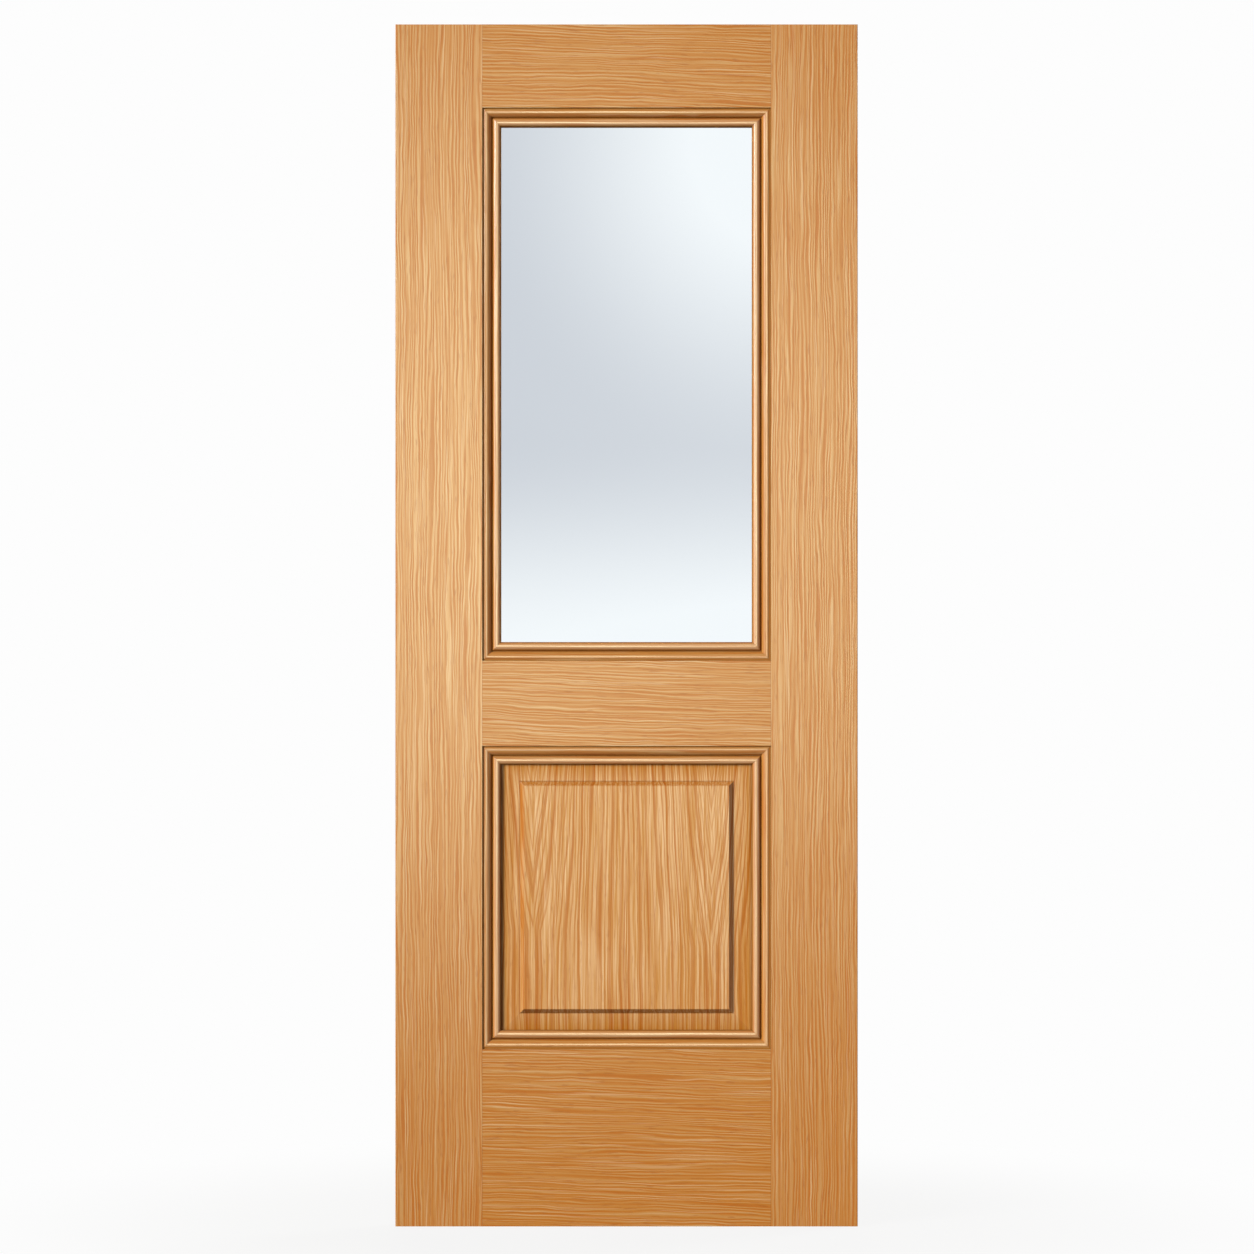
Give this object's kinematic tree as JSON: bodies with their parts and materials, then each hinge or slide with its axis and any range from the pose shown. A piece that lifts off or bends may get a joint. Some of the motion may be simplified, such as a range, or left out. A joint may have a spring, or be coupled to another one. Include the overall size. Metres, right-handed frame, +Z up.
{
  "type": "part-glazed two panel interior door",
  "caption": "Oak-veneered interior door leaf with a clear glazed upper light, a raised and fielded lower panel and mitred run mouldings.",
  "frame": {"origin": "bottom corner of the hinge edge, at the middle of the leaf's thickness, on the flat face that the hinges are let into", "axes": "+Z up the leaf, +X from the hinge edge to the latch edge, the front faces -Y"},
  "size_m": [0.762, 0.035, 1.981],
  "materials": {
    "oak_veneer": "straight-grained oak veneer under satin lacquer",
    "solid_oak": "machined oak under satin lacquer",
    "oak_veneered_panel": "crown-cut oak veneer under satin lacquer",
    "engineered_core": "laminated softwood, sawn and sanded, seen only on the edges",
    "clear_glass": "clear toughened glass, polished"
  },
  "bodies": {
    "root": {"back_bottom_rail_veneer": "oak_veneer", "back_glass_bead_bottom": "solid_oak", "back_glass_bead_left": "solid_oak", "back_glass_bead_right": "solid_oak", "back_glass_bead_top": "solid_oak", "back_left_stile_veneer": "oak_veneer", "back_middle_rail_veneer": "oak_veneer", "back_panel_mould_bottom": "solid_oak", "back_panel_mould_left": "solid_oak", "back_panel_mould_right": "solid_oak", "back_panel_mould_top": "solid_oak", "back_right_stile_veneer": "oak_veneer", "back_top_rail_veneer": "oak_veneer", "bottom_rail_core": "engineered_core", "front_bottom_rail_veneer": "oak_veneer", "front_glass_bead_bottom": "solid_oak", "front_glass_bead_left": "solid_oak", "front_glass_bead_right": "solid_oak", "front_glass_bead_top": "solid_oak", "front_left_stile_veneer": "oak_veneer", "front_middle_rail_veneer": "oak_veneer", "front_panel_mould_bottom": "solid_oak", "front_panel_mould_left": "solid_oak", "front_panel_mould_right": "solid_oak", "front_panel_mould_top": "solid_oak", "front_right_stile_veneer": "oak_veneer", "front_top_rail_veneer": "oak_veneer", "glass_pane": "clear_glass", "left_stile_core": "engineered_core", "left_stile_lipping": "solid_oak", "middle_rail_core": "engineered_core", "raised_panel": "oak_veneered_panel", "right_stile_core": "engineered_core", "right_stile_lipping": "solid_oak", "top_rail_core": "engineered_core"}
  },
  "joints": []
}
